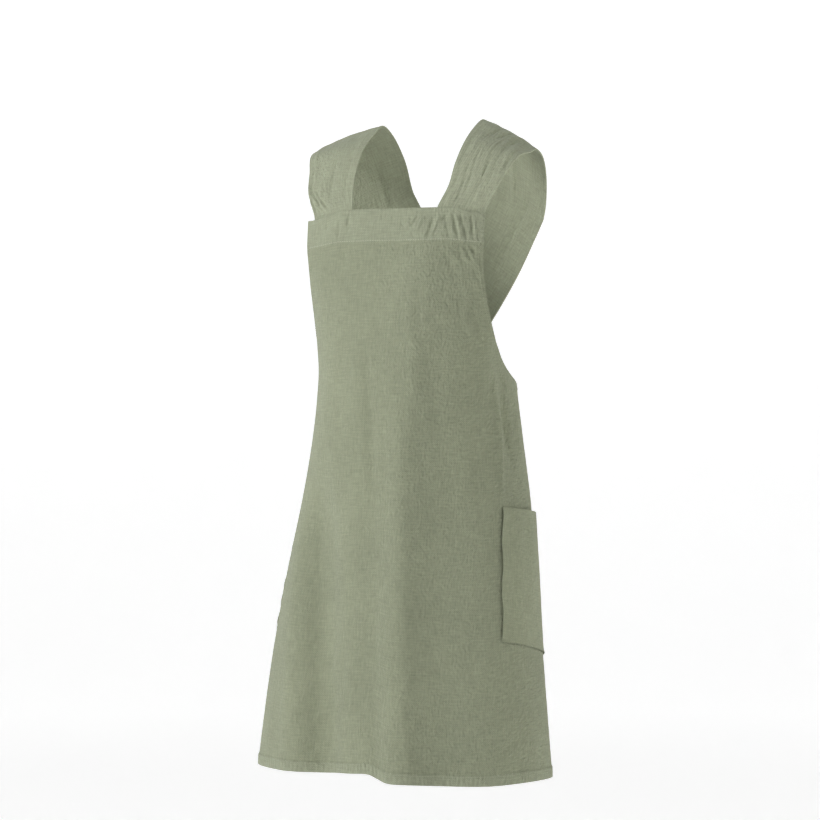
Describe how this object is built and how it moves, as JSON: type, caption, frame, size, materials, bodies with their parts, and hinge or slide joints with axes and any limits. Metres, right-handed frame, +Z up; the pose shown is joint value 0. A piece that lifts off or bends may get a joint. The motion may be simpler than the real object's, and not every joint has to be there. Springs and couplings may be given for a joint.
{
  "type": "cross back apron",
  "caption": "Cloth work apron as worn: a bib with a sewn band, wide straps that cross behind, a skirt that wraps round to the back, and patch pockets at the sides.",
  "frame": {"origin": "on the shoulder line, midway between the two straps, where the apron rests on its wearer", "axes": "+Z up, +X to the wearer's left, -Y to the front of the bib"},
  "size_m": [0.4469, 0.3231, 0.9554],
  "materials": {
    "panel_cloth": "matte plain weave in sage green",
    "double_cloth": "matte plain weave, doubled and stitched",
    "pocket_cloth": "matte plain weave"
  },
  "bodies": {
    "root": {"panel": "panel_cloth", "bib_band": "double_cloth", "hem": "double_cloth", "strap_left": "double_cloth", "strap_right": "double_cloth", "pocket_left": "pocket_cloth", "pocket_right": "pocket_cloth"}
  },
  "joints": []
}
